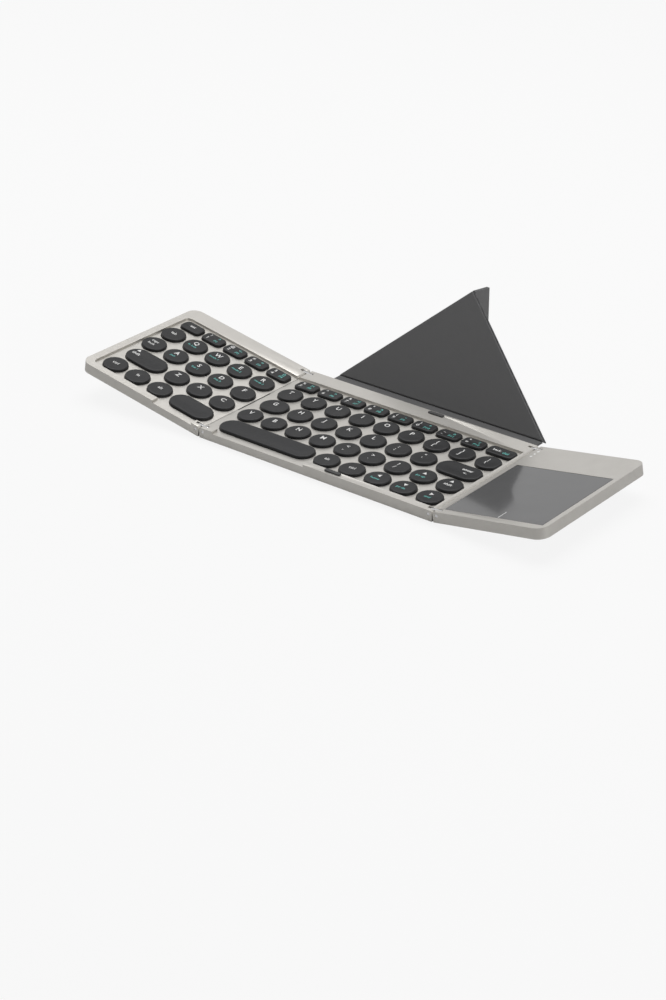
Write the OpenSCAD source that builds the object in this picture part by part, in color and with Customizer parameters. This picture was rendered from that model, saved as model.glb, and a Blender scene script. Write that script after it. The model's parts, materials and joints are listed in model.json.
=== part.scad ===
/* [Body] */
// Width of the centre section, from seam to seam
centre_w = 151.4; // [148:0.2:160]
// Length of the left wing, outward from its seam
left_len = 86; // [85.4:0.2:88]
// Length of the touchpad wing, outward from its seam
right_len = 65; // [64:0.2:66]
// Depth of all three sections, front to rear
body_d = 92.4; // [91:0.2:100]
// Thickness of the metal sections
body_t = 5.8; // [5.7:0.1:7]
// How far the key deck lies below the rims
recess = 1.3; // [1:0.1:1.5]
// Thickness of the key deck
deck_t = 1; // [0.7:0.1:1]
// Thickness of the outer walls
wall_t = 1.2; // [1:0.1:1.8]
// Radius of the outer corners of the wings
corner_r = 6; // [3:0.5:8]
// Depth of the raised ledge along the rear
ledge_d = 10.6; // [9:0.2:11]
// Depth of the raised rim along the front
front_rim_d = 4.4; // [4:0.1:4.6]
// Width of the raised rim at the left wing's outer end
end_rim_w = 4.6; // [4:0.2:6]
// Width of the lip along the touchpad seam
lip_w = 2.2; // [2:0.1:2.6]
// Upward tilt of the left wing as it stands
left_tilt = 10; // [0:1:30]
// Upward tilt of the touchpad wing as it stands
right_tilt = 10; // [0:1:30]

/* [Keys] */
// Diameter of a round key
key_d = 14; // [12:0.1:14.1]
// Distance between key centres, across and up
key_pitch = 16.3; // [16.1:0.05:16.4]
// Distance between key centres along the number row
number_pitch = 15.86; // [15.6:0.02:15.9]
// Width of a number key
number_w = 13.8; // [11:0.1:13.9]
// Depth of a number key
number_d = 8.6; // [7:0.1:9]
// Corner radius of a number key
number_r = 2.8; // [1.5:0.1:3]
// How far a key stands above the rims
key_proud = 0.3; // [0.1:0.1:0.35]
// Travel of a key
key_travel = 1.1; // [0.6:0.1:1.2]
// Gap around a key in its hole
key_gap = 0.2; // [0.1:0.05:0.3]
// Gap between a wide key and the next key
wide_gap = 2.3; // [2:0.1:3]
// Length of the main space key
space_len = 61; // [40:0.5:62]
// Length of the left space key
left_space_len = 27; // [20:0.5:27.5]
// Length of the left shift key
left_shift_len = 26.3; // [18:0.5:27]
// Length of the enter key
enter_len = 26; // [18:0.2:26.2]
// Length of the G key
g_len = 16.6; // [14.2:0.2:17.4]
// Width of the backspace key
backspace_w = 16.6; // [14:0.1:16.8]

/* [Hinges] */
// Depth of the pin axes below the rims
pin_depth = 2.1; // [2:0.05:2.2]
// Distance of the pin axes from the seam faces
pin_inset = 2.3; // [2.2:0.05:2.5]
// Gap between the seam faces when the wings lie flat
flat_gap = 0.4; // [0.3:0.05:0.6]
// Radius of a hinge pin
pin_r = 0.8; // [0.6:0.05:0.9]
// Radius of the round ends of a hinge link
link_r = 1.8; // [1.5:0.05:1.9]
// Thickness of a hinge link
link_t = 1.4; // [1:0.1:1.5]
// Running clearance on the radius of a pin
pin_clear = 0.05; // [0.02:0.01:0.08]
// Length of the gap over the ribbon cable at each seam
cable_gap_len = 26.4; // [20:0.2:40]
// Width of that gap's cut in the key deck, at the left seam
cable_gap_w = 0.6; // [0.2:0.1:0.8]

/* [Touchpad] */
// Length of the touchpad, across the wing
pad_w = 57.6; // [50:0.2:58]
// Depth of the touchpad, front to rear
pad_d = 61.6; // [50:0.2:64]
// Thickness of the touchpad glass
glass_t = 0.9; // [0.7:0.1:1.1]

/* [Stand cover] */
// Thickness of the board under the centre section
backing_t = 1.1; // [0.8:0.1:2]
// Thickness of the stiff boards of the cover
board_t = 1; // [0.8:0.1:1.6]
// Half of the width of the cover at its base crease
cover_half_w = 69; // [66:0.5:74]
// Height of the stand's rear ridge
stand_h = 59; // [50:1:68]
// Distance from the base crease back to the ridge
stand_run = 29; // [24:1:40]
// Width of the closure flaps beyond the legs
closure_w = 14; // [10:0.5:16]

/* [Hidden] */
$fn = 48;
eps = 0.01;
// Rounded outlines use this many sides on a full circle
round_fn = 64;

// Heights, from the table up
z_metal = backing_t;
plate_t = 0.8;
board_thick = 0.6;
sheet_t = 0.3;
z_plate = z_metal + plate_t;
z_board = z_plate + board_thick;
z_sheet = z_board + sheet_t;
z_rim = z_metal + body_t;
z_deck = z_rim - recess;
z_under = z_deck - deck_t;
z_pin = z_rim - pin_depth;
z_glass = z_rim - glass_t;

// Hinge places: the centre's pins and, with the wings flat, the wings' pins
link_len = 2 * pin_inset + flat_gap;
closed_gap = link_len - 2 * pin_depth;
centre_pin_x = centre_w / 2 - pin_inset;
wing_pin_x = centre_w / 2 + flat_gap + pin_inset;
wing_x0 = centre_w / 2 + flat_gap;
end_round_r = link_len / 2 - 0.05;
seam_wall = 4.9;
block = 5;
block_wall = 2.3;
link_side_gap = 0.15;
link_clear = 0.25;
link_y = body_d / 2 - block_wall - link_side_gap - link_t / 2;
pin_len = block_wall + 2 * link_side_gap + link_t + 0.8;

// Bar between the front and rear links of a seam, and the ribbon cable that lies on it
bar_in = 1.6;
bar_low = 3;
bar_t = 0.4;
bar_gap = 0.15;
ribbon_t = 0.25;
ribbon_margin = 2;
nose_r = bar_low - bar_t - ribbon_t - 0.05;

// Front end of the gap over the ribbon cable
cable_y0 = 31 - body_d / 2;

// Rows of keys, measured from the front edge
row_y5 = 12.1;
row_y4 = row_y5 + key_pitch;
row_y3 = row_y4 + key_pitch;
row_y2 = row_y3 + key_pitch;
row_y1 = row_y2 + 13.8;
// First keys of the centre section, measured from the left seam
centre_x1 = 12;
centre_x2 = 11.4;
centre_x3 = 31.7;
centre_x4 = 11;
centre_x5 = 76.1;
// Last keys of the left wing, measured from its seam
left_u1 = 8.3;
left_u2 = 8.5;
left_u3 = 8.1;
left_u4 = 8.8;
left_u5 = 39;

// Parts of a key below the deck
flange_t = 0.5;
flange_out = 0.5;
flange_gap = 0.05;
edge_in = 0.6;
edge_h = 0.5;
key_low = z_under - flange_gap - flange_t;
key_top = z_rim + key_proud;
dome_r = 2.2;
dome_h = 1.2;
dome_room = 0.4;
pocket_h = z_sheet + dome_h + key_travel + 0.15 - key_low;

// Screws of the bottom plates
screw_r = 0.7;
screw_head_r = 1.3;
screw_head_h = 0.45;
screw_len = 2.6;
boss_r = 1.55;
fit_gap = 0.1;
rear_boss_in = 4.6;
front_boss_in = 2.9;

// Touchpad and the pieces under it
pad_u0 = 4.3;
pad_y0 = 4.8;
pad_gap = 0.2;
sensor_t = 0.8;
sensor_out = 1.1;
battery_size = [50, 46, 2.7];
battery_at = [8, 13];
board_rear_at = [5.3, 68.6];
board_rear_size = [54, 17.2];
socket_u = 40;
socket_w = 8.94;
socket_h = 3.16;
socket_len = 7.3;
socket_shell = 0.3;
light_u = 4.2;
light_y = [79, 82.3, 85.6];
light_r = 0.7;

// Feet and bumpers
foot_r = 4;
foot_t = 0.4;
foot_in = 9;
bumper_l = 10;
bumper_w = 2.4;
bumper_deep = 0.5;
bumper_proud = closed_gap - 0.1;
bumper_x = 87.5;

// The cover: boards with the creases on their outer faces
crease_gap = 0.15;
spine_w = 2 * cover_half_w - 3;
body_to_spine = 0.2;
wing_to_cover = 0.1;
spine_y = body_d / 2 + board_t + body_to_spine;
spine_h = z_rim + closed_gap + body_t + foot_t + wing_to_cover + board_t;
base_y = spine_y + spine_h;
backing_in = 2.2;
lean = atan2(stand_h, stand_run);
panel_d = norm([stand_h, stand_run]);
crease_len = norm([cover_half_w, panel_d]);
crease_u = [cover_half_w, panel_d] / crease_len;
foot_edge = norm([cover_half_w, stand_run]);
foot_along = pow(foot_edge, 2) / crease_len;
foot_off = stand_h * foot_edge / crease_len;
// Foot corner of a leg board, flat, measured from the middle of the base crease
leg_corner = [-cover_half_w, 0] + foot_along * crease_u + foot_off * [-crease_u.y, crease_u.x];
ridge_bottom = [0, stand_run * stand_run / panel_d, -stand_run * stand_h / panel_d];
fold_base = [-cover_half_w, 0, 0] + foot_along * [crease_u.x, crease_u.y, 0];
leg_fold = acos((ridge_bottom - fold_base) * [-crease_u.y, crease_u.x, 0] / foot_off);
flap_fold = acos(stand_run / foot_edge);

// A key is [x, y, length, depth, corner radius]
function round_key(x, y) = [x, y, key_d, key_d, key_d / 2];
function pill_key(x, y, l) = [x, y, l, key_d, key_d / 2];
function number_key(x, y, w) = [x, y, w, number_d, number_r];
// Centre keys are placed from the left seam, wing keys outward from theirs
function cx(x) = x - centre_w / 2;
function ry(y) = y - body_d / 2;
function lx(u) = -wing_x0 - u;
function centre_row(first, row, from, to) =
    [for (i = [from:to]) round_key(cx(first + i * key_pitch), ry(row))];
function left_row(last, row, from, to) =
    [for (i = [from:to]) round_key(lx(last + i * key_pitch), ry(row))];

escape = [number_key(lx(left_u1 + 4 * number_pitch), ry(row_y1), number_w)];
left_numbers = [for (i = [0:3]) number_key(lx(left_u1 + i * number_pitch), ry(row_y1), number_w)];
left_upper = left_row(left_u2, row_y2, 0, 3);
tab = left_row(left_u2, row_y2, 4, 4);
left_home = left_row(left_u3, row_y3, 0, 3);
caps = left_row(left_u3, row_y3, 4, 4);
left_lower = left_row(left_u4, row_y4, 0, 2);
left_shift_u = left_u4 + 2 * key_pitch + key_d / 2 + wide_gap + left_shift_len / 2;
left_shift = [pill_key(lx(left_shift_u), ry(row_y4), left_shift_len)];
left_mods = left_row(left_u5, row_y5, 0, 2);
left_space_u = left_u5 - key_d / 2 - wide_gap - left_space_len / 2;
left_space = [pill_key(lx(left_space_u), ry(row_y5), left_space_len)];
centre_numbers =
    [for (i = [0:7]) number_key(cx(centre_x1 + i * number_pitch), ry(row_y1), number_w)];
backspace_x = centre_x1 + 8 * number_pitch + (backspace_w - number_w) / 2;
backspace = [number_key(cx(backspace_x), ry(row_y1), backspace_w)];
centre_upper = centre_row(centre_x2, row_y2, 0, 8);
g_x = centre_x3 - key_d / 2 - wide_gap - g_len / 2;
centre_home = concat([pill_key(cx(g_x), ry(row_y3), g_len)], centre_row(centre_x3, row_y3, 0, 5));
enter_x = centre_x3 + 5 * key_pitch + key_d / 2 + wide_gap + enter_len / 2;
enter = [pill_key(cx(enter_x), ry(row_y3), enter_len)];
centre_lower = centre_row(centre_x4, row_y4, 0, 6);
up_arrow = centre_row(centre_x4, row_y4, 7, 7);
right_shift = centre_row(centre_x4, row_y4, 8, 8);
space_x = centre_x5 - key_d / 2 - wide_gap - space_len / 2;
space = [pill_key(cx(space_x), ry(row_y5), space_len)];
right_mods = centre_row(centre_x5, row_y5, 0, 1);
arrows = centre_row(centre_x5, row_y5, 2, 4);

left_keys = concat(escape, left_numbers, left_upper, tab, left_home, caps,
    left_lower, left_shift, left_mods, left_space);
centre_keys = concat(centre_numbers, backspace, centre_upper, centre_home, enter,
    centre_lower, up_arrow, right_shift, space, right_mods, arrows);

metal = [0.76, 0.75, 0.72];
key_black = [0.13, 0.13, 0.14];
cloth = [0.3, 0.3, 0.31];
chrome = [0.85, 0.85, 0.86];
rubber = [0.16, 0.16, 0.15];
board_green = [0.1, 0.32, 0.2];

// Outline with straight sides and round corners
module outline(l, d, r) {
    if (l <= 2 * r + eps && d <= 2 * r + eps) {
        circle(r = r, $fn = round_fn);
    } else if (d <= 2 * r + eps) {
        square([l - 2 * r, d], center = true);
        for (s = [-1, 1]) translate([s * (l / 2 - r), 0]) circle(r = r, $fn = round_fn);
    } else {
        square([l - 2 * r, d], center = true);
        square([l, d - 2 * r], center = true);
        for (s = [-1, 1], t = [-1, 1])
            translate([s * (l / 2 - r), t * (d / 2 - r)]) circle(r = r, $fn = round_fn);
    }
}

module key_outlines(keys, grow) {
    for (k = keys)
        translate([k[0], k[1]]) outline(k[2] + 2 * grow, k[3] + 2 * grow, k[4] + grow);
}

module at_z(z0, z1) {
    translate([0, 0, z0]) linear_extrude(z1 - z0) children();
}

module box(x0, x1, y0, y1, z0, z1) {
    translate([x0, y0, z0]) cube([x1 - x0, y1 - y0, z1 - z0]);
}

module y_rod(x, z, y0, y1, r) {
    translate([x, y0, z]) rotate([-90, 0, 0]) cylinder(r = r, h = y1 - y0, $fn = round_fn);
}

// A wing's rest place: the link turns on the centre's pin, the wing on its own
module link_rest(side, tilt) {
    translate([side * centre_pin_x, 0, z_pin]) rotate([0, -side * tilt / 2, 0])
        translate([-side * centre_pin_x, 0, -z_pin]) children();
}

module wing_rest(side, tilt) {
    link_rest(side, tilt) translate([side * wing_pin_x, 0, z_pin]) rotate([0, -side * tilt / 2, 0])
        translate([-side * wing_pin_x, 0, -z_pin]) children();
}

// Caps with a flange that stops under the deck and room for the dome below
module key_caps(keys) {
    difference() {
        union() {
            at_z(key_low, key_low + flange_t) key_outlines(keys, flange_out);
            at_z(key_low, key_top - edge_h) key_outlines(keys, 0);
            at_z(key_low, key_top) key_outlines(keys, -edge_in);
        }
        for (k = keys)
            translate([k[0], k[1], key_low - 1])
                cylinder(r = dome_r + dome_room, h = 1 + pocket_h, $fn = round_fn);
    }
}

// Holes through the deck and room for the flanges below it
module key_cuts(keys) {
    at_z(z_under - 1, z_rim + 1) key_outlines(keys, key_gap);
    at_z(z_board, z_under) key_outlines(keys, flange_out + 0.15);
}

// Plain outline of a section; a wing has round corners at its outer end
module centre_outline() {
    square([centre_w, body_d], center = true);
}

module wing_outline(side, len) {
    far = wing_x0 + len - corner_r;
    mirror([side < 0 ? 1 : 0, 0]) {
        translate([wing_x0, -body_d / 2]) square([len - corner_r, body_d]);
        translate([wing_x0, corner_r - body_d / 2]) square([len, body_d - 2 * corner_r]);
        for (t = [-1, 1])
            translate([far, t * (body_d / 2 - corner_r)]) circle(r = corner_r, $fn = round_fn);
    }
}

// Room inside a section, clear of the hinge blocks at its seam corners
module centre_room(gap) {
    w = centre_w - 2 * (seam_wall + gap);
    d = body_d - 2 * (wall_t + gap);
    square([w, d - 2 * block], center = true);
    square([w - 2 * (block - seam_wall + wall_t), d], center = true);
}

module wing_room(side, len, gap) {
    mirror([side < 0 ? 1 : 0, 0]) {
        x0 = wing_x0 + seam_wall + gap;
        x1 = wing_x0 + len - wall_t - gap;
        y1 = body_d / 2 - wall_t - gap;
        b = block + gap;
        translate([x0, b - y1]) square([x1 - x0 - corner_r, 2 * (y1 - b)]);
        translate([x0 + wall_t, -y1]) square([x1 - x0 - wall_t - corner_r, 2 * y1]);
        translate([x0, corner_r - y1]) square([x1 - x0, 2 * (y1 - corner_r)]);
        for (t = [-1, 1])
            translate([x1 - corner_r, t * (y1 - corner_r)])
                circle(r = corner_r, $fn = round_fn);
    }
}

// Cuts at one seam face; out is the direction from the body to the seam
module seam_cuts(pin_x, out) {
    far = out * (pin_inset + 1);
    mirror([out < 0 ? 1 : 0, 0, 0]) translate([out * pin_x, 0, z_pin]) {
        // Round the seam's upper edge about the pin
        difference() {
            box(0, pin_inset + 1, -body_d, body_d, 0, pin_depth + 1);
            y_rod(0, 0, -body_d - 1, body_d + 1, end_round_r);
        }
        // Slots for the links
        for (s = [-1, 1]) translate([0, s * link_y, 0]) {
            t = link_t / 2 + link_side_gap;
            r = link_r + link_clear;
            box(-r, pin_inset + 1, -t, t, 0, pin_depth + 1);
            box(0, pin_inset + 1, -t, t, -r, eps);
            box(bar_in - bar_gap, pin_inset + 1, -t, t, -bar_low - bar_gap, eps);
            y_rod(0, 0, -t, t, r);
        }
        // Channel for the bar between the links
        box(bar_in - bar_gap, pin_inset + 1, -link_y, link_y, -bar_low - bar_gap, -1.9);
        // Way for the ribbon cable round the nose and into the section
        y0 = cable_y0 + ribbon_margin;
        y1 = cable_y0 + cable_gap_len - ribbon_margin;
        difference() {
            box(0, pin_inset + 1, y0, y1, -bar_low - bar_gap, 0);
            y_rod(0, 0, y0 - 1, y1 + 1, nose_r);
        }
        box(-pin_inset - seam_wall, eps, y0, y1, -nose_r - 0.6, -nose_r);
    }
    // Bores for the hinge pins
    for (s = [-1, 1])
        y_rod(pin_x, z_pin, s > 0 ? body_d / 2 - pin_len : -body_d / 2 - 1,
            s > 0 ? body_d / 2 + 1 : pin_len - body_d / 2, pin_r + 0.02);
}

function centre_screws() = concat(
    [for (x = [-60, 0, 60]) [x, body_d / 2 - rear_boss_in]],
    [for (x = [-51.5, 9.5, 58]) [x, front_boss_in - body_d / 2]]);
function left_screws() = concat(
    [for (u = [12, left_len - 14]) [lx(u), body_d / 2 - rear_boss_in]],
    [for (u = [31.3, left_len - 14]) [lx(u), front_boss_in - body_d / 2]]);
function right_screws() = concat(
    [for (u = [12, right_len - 12]) [wing_x0 + u, body_d / 2 - 3.2]],
    [[wing_x0 + right_len - 12, boss_r + wall_t - 0.15 - body_d / 2]]);

module bosses(places, z1) {
    for (p = places) translate([p.x, p.y, z_plate]) cylinder(r = boss_r, h = z1 - z_plate);
}

module screw_holes(places) {
    for (p = places) translate([p.x, p.y, z_metal - 1]) cylinder(r = screw_r + 0.02, h = 1 + screw_len + 0.2);
}

module plate_screws(places) {
    for (p = places) translate([p.x, p.y, z_metal]) difference() {
        union() {
            cylinder(r = screw_head_r, h = screw_head_h);
            cylinder(r = screw_r, h = screw_len);
        }
        cylinder(r = 0.45, h = 0.6, center = true, $fn = 6);
    }
}

module bottom_plate(places) {
    difference() {
        at_z(z_metal, z_plate) children();
        for (p = places) translate([p.x, p.y, z_metal - 1]) {
            cylinder(r = screw_r + 0.05, h = 3);
            cylinder(r = screw_head_r + 0.05, h = 1 + screw_head_h + 0.05);
        }
    }
}

module bumper_places(grow, z0, z1) {
    for (y = [front_rim_d / 2 - body_d / 2 + 0.4, body_d / 2 - bumper_w])
        translate([cx(bumper_x), y, 0])
            at_z(z0, z1) outline(bumper_l + 2 * grow, bumper_w + 2 * grow, bumper_w / 2 + grow);
}

module centre_deck() color(metal) {
    difference() {
        union() {
            difference() {
                at_z(z_metal, z_rim) centre_outline();
                at_z(z_metal - 1, z_under) centre_room(0);
            }
            bosses(centre_screws(), z_under + eps);
        }
        // Key recess, open to the left seam, and the finger notch in the front rim
        recess_d = body_d - ledge_d - front_rim_d;
        box(-centre_w / 2 - 1, centre_w / 2 - lip_w, front_rim_d - body_d / 2,
            front_rim_d - body_d / 2 + recess_d, z_deck, z_rim + 1);
        box(cx(8.9), cx(70), -body_d / 2 - 1, front_rim_d - body_d / 2 + eps, z_deck, z_rim + 1);
        key_cuts(centre_keys);
        seam_cuts(-centre_pin_x, -1);
        seam_cuts(centre_pin_x, 1);
        box(-centre_w / 2 - 1, cable_gap_w - centre_w / 2, cable_y0, cable_y0 + cable_gap_len,
            z_deck - deck_t, z_rim);
        bumper_places(fit_gap, z_rim - bumper_deep, z_rim + 1);
        screw_holes(centre_screws());
    }
}

module left_deck() color(metal) wing_rest(-1, left_tilt) {
    difference() {
        union() {
            difference() {
                at_z(z_metal, z_rim) wing_outline(-1, left_len);
                at_z(z_metal - 1, z_under) wing_room(-1, left_len, 0);
            }
            bosses(left_screws(), z_under + eps);
        }
        // Key recess, open to the seam, and the lowered part of the front rim
        w = left_len - end_rim_w;
        r = 3;
        d = body_d - ledge_d - front_rim_d;
        y0 = front_rim_d - body_d / 2;
        at_z(z_deck, z_rim + 1) {
            translate([-wing_x0 - w + r, y0]) square([w - r + 1, d]);
            translate([-wing_x0 - w, y0 + r]) square([w, d - 2 * r]);
            for (y = [y0 + r, y0 + d - r])
                translate([-wing_x0 - w + r, y]) circle(r = r, $fn = round_fn);
        }
        box(lx(33.5), lx(block + 0.5), -body_d / 2 - 1, y0 + eps, z_deck, z_rim + 1);
        key_cuts(left_keys);
        seam_cuts(-wing_pin_x, 1);
        screw_holes(left_screws());
    }
}

// Room between the charging socket and the rear wall's opening
module socket_block(grow, y0, y1) {
    translate([wing_x0 + socket_u, y0, z_plate + board_thick + socket_h / 2 + 0.05])
        rotate([-90, 0, 0]) linear_extrude(y1 - y0)
            outline(socket_w + 2 * grow, socket_h + 2 * grow, socket_h / 2 + grow);
}

module right_deck() color(metal) wing_rest(1, right_tilt) {
    difference() {
        union() {
            difference() {
                at_z(z_metal, z_rim) wing_outline(1, right_len);
                at_z(z_metal - 1, z_glass) wing_room(1, right_len, 0);
            }
            for (p = right_screws())
                bosses([p], p.y > 0 ? z_glass + eps : z_glass - sensor_t - 0.15);
        }
        // Window for the touchpad, with room for it below and beside the seam wall
        translate([wing_x0 + pad_u0 - pad_gap, ry(pad_y0) - pad_gap, z_glass - 1.3])
            cube([pad_w + 2 * pad_gap, pad_d + 2 * pad_gap, glass_t + 3]);
        for (y = light_y) translate([wing_x0 + light_u, ry(y), z_board])
            cylinder(r = light_r + 0.05, h = body_t);
        box(wing_x0 + light_u - light_r - 0.2, wing_x0 + seam_wall + 1, ry(light_y[0] - 1.2),
            ry(light_y[2] + 1.2), z_metal - 1, z_glass - 1);
        socket_block(0.15, body_d / 2 - wall_t - 1, body_d / 2 + 1);
        seam_cuts(wing_pin_x, -1);
        screw_holes(right_screws());
    }
}

module centre_bottom_plate() color(metal) bottom_plate(centre_screws()) centre_room(fit_gap);
module left_bottom_plate() color(metal) wing_rest(-1, left_tilt)
    bottom_plate(left_screws()) wing_room(-1, left_len, fit_gap);
module right_bottom_plate() color(metal) wing_rest(1, right_tilt)
    bottom_plate(right_screws()) wing_room(1, right_len, fit_gap);

// Boards and dome sheets stop short of the screw bosses, front and rear
module board_area(x0, x1) {
    y0 = front_boss_in + boss_r + 0.4 - body_d / 2;
    y1 = body_d / 2 - rear_boss_in - boss_r - 0.4;
    translate([x0, y0]) square([x1 - x0, y1 - y0]);
}

module centre_area() {
    board_area(seam_wall + 0.3 - centre_w / 2, centre_w / 2 - seam_wall - 0.3);
}

module left_area() {
    board_area(wall_t + 0.3 - wing_x0 - left_len, -wing_x0 - seam_wall - 0.3);
}

module dome_sheet(keys) {
    at_z(z_board, z_sheet) children();
    for (k = keys) translate([k[0], k[1], z_board])
        cylinder(r1 = dome_r, r2 = dome_r * 0.7, h = sheet_t + dome_h, $fn = 32);
}

module centre_circuit_board() color(board_green) at_z(z_plate, z_board) centre_area();
module left_circuit_board() color(board_green) wing_rest(-1, left_tilt)
    at_z(z_plate, z_board) left_area();
module centre_dome_sheet() color(rubber) dome_sheet(centre_keys) centre_area();
module left_dome_sheet() color(rubber) wing_rest(-1, left_tilt) dome_sheet(left_keys) left_area();

module centre_plate_screws() color(chrome) plate_screws(centre_screws());
module left_plate_screws() color(chrome) wing_rest(-1, left_tilt) plate_screws(left_screws());
module right_plate_screws() color(chrome) wing_rest(1, right_tilt) plate_screws(right_screws());

module rim_bumpers() color(rubber)
    bumper_places(0, z_rim - bumper_deep, z_rim + bumper_proud);

// Two pins of one seam, front and rear
module seam_pins(x) {
    for (s = [-1, 1]) translate([0, s * (body_d / 2 - pin_len / 2 - 0.05), 0])
        y_rod(x, z_pin, -pin_len / 2 + 0.05, pin_len / 2 - 0.05, pin_r);
}

module centre_hinge_pins() color(chrome) {
    seam_pins(-centre_pin_x);
    seam_pins(centre_pin_x);
}

module left_wing_hinge_pins() color(chrome) wing_rest(-1, left_tilt) seam_pins(-wing_pin_x);
module right_wing_hinge_pins() color(chrome) wing_rest(1, right_tilt) seam_pins(wing_pin_x);

// Link plates front and rear, joined by a bar below the seam
module hinge_links(side, tilt) link_rest(side, tilt)
    translate([side * centre_pin_x, 0, z_pin]) mirror([side < 0 ? 1 : 0, 0, 0]) difference() {
        union() {
            for (s = [-1, 1]) {
                y0 = s * link_y - link_t / 2;
                y1 = s * link_y + link_t / 2;
                for (x = [0, link_len]) y_rod(x, 0, y0, y1, link_r);
                box(0, link_len, y0, y1, -link_r, link_r);
                box(bar_in, link_len - bar_in, y0, y1, -bar_low, 0);
            }
            box(bar_in, link_len - bar_in, -link_y, link_y, -bar_low, -bar_low + bar_t);
        }
        for (s = [-1, 1], x = [0, link_len])
            y_rod(x, 0, s * link_y - link_t, s * link_y + link_t, pin_r + pin_clear);
    }

module left_hinge_links() color(chrome) hinge_links(-1, left_tilt);
module right_hinge_links() color(chrome) hinge_links(1, right_tilt);

module ribbon_cable(side, tilt) color("orange") link_rest(side, tilt)
    translate([side * centre_pin_x, 0, z_pin]) mirror([side < 0 ? 1 : 0, 0, 0])
        box(0.1, link_len - 0.1, cable_y0 + ribbon_margin + 0.3,
            cable_y0 + cable_gap_len - ribbon_margin - 0.3, -bar_low + bar_t,
            -bar_low + bar_t + ribbon_t);

module left_ribbon_cable() ribbon_cable(-1, left_tilt);
module right_ribbon_cable() ribbon_cable(1, right_tilt);

module feet(places) {
    for (p = places) translate([p.x, p.y, z_metal - foot_t]) cylinder(r = foot_r, h = foot_t);
}

module left_wing_feet() color(rubber) wing_rest(-1, left_tilt)
    feet([for (s = [-1, 1]) [lx(left_len - foot_in), s * (body_d / 2 - foot_in - 7)]]);
module right_wing_feet() color(rubber) wing_rest(1, right_tilt)
    feet([for (s = [-1, 1]) [wing_x0 + right_len - foot_in, s * (body_d / 2 - foot_in - 7)]]);

module touchpad_glass() color([0.5, 0.5, 0.52]) wing_rest(1, right_tilt)
    translate([wing_x0 + pad_u0, ry(pad_y0), z_glass]) cube([pad_w, pad_d, glass_t]);

// The board is wider than the window on three sides, which stops the pad from lifting out
module touchpad_sensor_board() color(board_green) wing_rest(1, right_tilt)
    translate([wing_x0 + pad_u0, ry(pad_y0) - sensor_out, z_glass - sensor_t])
        cube([pad_w + sensor_out, pad_d + 2 * sensor_out, sensor_t]);

module click_switch() color(rubber) wing_rest(1, right_tilt)
    translate([wing_x0 + pad_u0 + pad_w / 2, ry(8.5), z_plate]) {
        translate([-2.5, -2, 0]) cube([5, 4, 2]);
        cylinder(r = 1, h = z_glass - sensor_t - 0.45 - z_plate);
    }

module battery() color([0.6, 0.62, 0.64]) wing_rest(1, right_tilt)
    translate([wing_x0 + battery_at.x, ry(battery_at.y), z_plate]) cube(battery_size);

module right_circuit_board() color(board_green) wing_rest(1, right_tilt) difference() {
    union() {
        translate([wing_x0 + board_rear_at.x, ry(board_rear_at.y), z_plate])
            cube([board_rear_size.x, board_rear_size.y, board_thick]);
        translate([wing_x0 + 22, ry(74), z_board]) cube([7, 7, 0.9]);
        translate([wing_x0 + board_rear_at.x, ry(light_y[0] - 1), z_board])
            cube([1.5, light_y[2] - light_y[0] + 1.2, 0.4]);
    }
    bosses([for (p = right_screws()) p], z_rim);
}

module charging_socket() color(chrome) wing_rest(1, right_tilt) difference() {
    socket_block(0, body_d / 2 - socket_len, body_d / 2 - 0.1);
    difference() {
        socket_block(-socket_shell, body_d / 2 - socket_len + 1.2, body_d / 2 + 1);
        translate([wing_x0 + socket_u - 3.1, body_d / 2 - socket_len,
            z_board + 0.05 + socket_h / 2 - 0.35]) cube([6.2, socket_len - 1.2, 0.7]);
    }
}

module indicator_lights() color("white") wing_rest(1, right_tilt)
    for (y = light_y) translate([wing_x0 + light_u, ry(y), z_glass - 1.2])
        cylinder(r = light_r, h = glass_t + 1.2);

// Board of the cover: outer face at zero, edges mitred along each given crease
module mitred_board(points, creases) {
    difference() {
        linear_extrude(board_t) polygon(points);
        for (c = creases) {
            v = c[1] - c[0];
            n = norm(v);
            translate([c[0].x, c[0].y, 0]) rotate([0, 0, atan2(v.y, v.x)])
                translate([-5, 0, 0]) rotate([c[2], 0, 0])
                    translate([0, -10, -board_t]) cube([n + 10, 10, 4 * board_t]);
        }
    }
}

// Moves a crease line inward, to its left, by a distance
function shift_line(a, b, d) =
    let (v = (b - a) / norm(b - a), s = d * [-v.y, v.x]) [a + s, b + s];
function meet(p, q) =
    let (r = p[1] - p[0], s = q[1] - q[0], w = q[0] - p[0],
        t = (w.x * s.y - w.y * s.x) / (r.x * s.y - r.y * s.x)) p[0] + t * r;
// Corners of a board whose sides are moved in by the distances given
function inset(points, by) =
    let (n = len(points))
    [for (i = [0:n - 1]) let (
        a = points[(i + n - 1) % n], b = points[i], c = points[(i + 1) % n])
        meet(shift_line(a, b, by[(i + n - 1) % n]), shift_line(b, c, by[i]))];

// Bevels the inner edges at a square fold
module crease_bevel(y) {
    translate([-centre_w, y, 0]) rotate([45, 0, 0]) cube([2 * centre_w, 10, 10]);
}

module cover_backing() color(cloth) {
    points = [[backing_in - centre_w / 2, backing_in - body_d / 2],
        [centre_w / 2 - backing_in, backing_in - body_d / 2],
        [centre_w / 2 - backing_in, body_d / 2 - 0.5], [spine_w / 2, body_d / 2 - 0.5],
        [spine_w / 2, spine_y - crease_gap], [-spine_w / 2, spine_y - crease_gap],
        [-spine_w / 2, body_d / 2 - 0.5], [backing_in - centre_w / 2, body_d / 2 - 0.5]];
    difference() {
        linear_extrude(backing_t) polygon(points);
        crease_bevel(spine_y);
    }
}

module cover_spine() color(cloth) difference() {
    translate([-spine_w / 2, spine_y + crease_gap, 0])
        cube([spine_w, spine_h - 2 * crease_gap, board_t]);
    for (y = [spine_y, base_y]) crease_bevel(y);
}

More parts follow.
